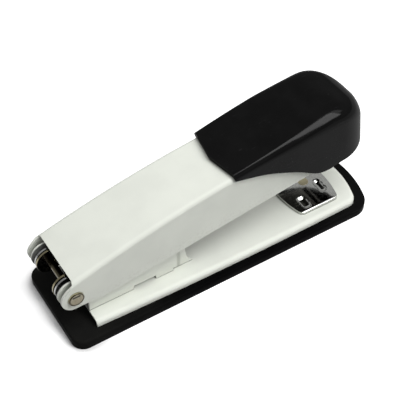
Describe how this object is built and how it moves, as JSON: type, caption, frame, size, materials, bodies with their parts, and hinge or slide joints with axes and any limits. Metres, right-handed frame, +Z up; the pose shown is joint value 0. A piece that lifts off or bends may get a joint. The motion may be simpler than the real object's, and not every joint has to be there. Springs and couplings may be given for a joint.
{
  "type": "desk stapler",
  "caption": "Desk stapler with a pressed steel arm and deck, a moulded nose cap, a spring-fed magazine and a turning anvil on a padded base.",
  "frame": {"origin": "centre of the bounding box on the table plane, under the middle of the base", "axes": "+X towards the nose, +Z up from the table, +Y to the left of a user who faces the nose"},
  "size_m": [0.151, 0.046, 0.0623],
  "materials": {
    "pad": "matt black moulded plastic, slightly rubbery",
    "white_enamel": "warm white stove enamel, smooth, semi-gloss",
    "nickel": "bright nickel plate",
    "spring_steel": "oiled grey spring steel",
    "bronze": "dull bronze-coloured plated steel",
    "bright_steel": "bright steel",
    "chrome": "polished chrome plate",
    "brass": "dull brass",
    "yellow_zinc": "yellow-passivated zinc plate on steel",
    "staple_wire": "bright zinc-coated wire, glued in a strip",
    "cap_black": "black moulded plastic, semi-gloss"
  },
  "bodies": {
    "base": {"base_pad": "pad", "base_plate": "white_enamel", "hinge_bracket": "white_enamel", "bracket_rivet_rear": "nickel", "bracket_rivet_front": "nickel", "lift_spring": "spring_steel", "hinge_pin": "bronze", "hinge_spacer_near": "bright_steel", "hinge_spacer_far": "bright_steel"},
    "magazine": {"magazine_channel": "yellow_zinc", "nose_plate": "yellow_zinc", "staple_rail": "nickel", "rod_holder": "bright_steel", "pusher_rod": "bright_steel", "pusher_spring": "spring_steel", "staple_strip": "staple_wire"},
    "return_cup": {"return_spring": "spring_steel", "spring_cup": "nickel"},
    "arm": {"arm_cover": "white_enamel", "driver_carrier": "nickel", "driver_blade": "bright_steel", "driver_rivet_near": "nickel", "driver_rivet_far": "nickel", "cover_rivet": "nickel", "cap": "cap_black"},
    "pusher": {"pusher": "bright_steel"},
    "anvil_lifter": {"anvil_button": "nickel", "anvil_spring": "spring_steel"},
    "anvil": {"anvil_plate": "chrome", "anvil_spindle": "brass"}
  },
  "joints": [
    {"name": "magazine_press", "type": "hinge", "parent": "base", "child": "magazine", "pos_m": [-0.0692, 0, 0.0236], "axis": [0, 1, 0], "range_deg": [0, 6.3], "stiffness_Nm_per_rad": 1.2, "springref_deg": -14.32, "deforming": ["lift_spring"]},
    {"name": "arm_press", "type": "hinge", "parent": "magazine", "child": "return_cup", "pos_m": [-0.0692, 0, 0.0236], "axis": [0, 1, 0], "range_deg": [0, 3.6], "stiffness_Nm_per_rad": 6, "springref_deg": -5.73, "deforming": ["return_spring"]},
    {"name": "arm_open", "type": "hinge", "parent": "return_cup", "child": "arm", "pos_m": [-0.0692, 0, 0.0236], "axis": [0, 1, 0], "range_deg": [-95, 0]},
    {"name": "pusher_slide", "type": "slide", "parent": "magazine", "child": "pusher", "axis": [0.9954, 0, 0.0958], "range_m": [-0.045, 0], "stiffness_N_per_m": 60, "springref_m": 0.08, "deforming": ["pusher_spring"]},
    {"name": "anvil_lift", "type": "slide", "parent": "base", "child": "anvil_lifter", "axis": [0, 0, -1], "range_m": [-0.0015, 0], "stiffness_N_per_m": 400, "springref_m": 0.003, "deforming": ["anvil_spring"]},
    {"name": "anvil_turn", "type": "hinge", "parent": "anvil_lifter", "child": "anvil", "pos_m": [0.0505, 0, 0.0094], "axis": [0, 0, 1], "range_deg": [0, 180]}
  ]
}
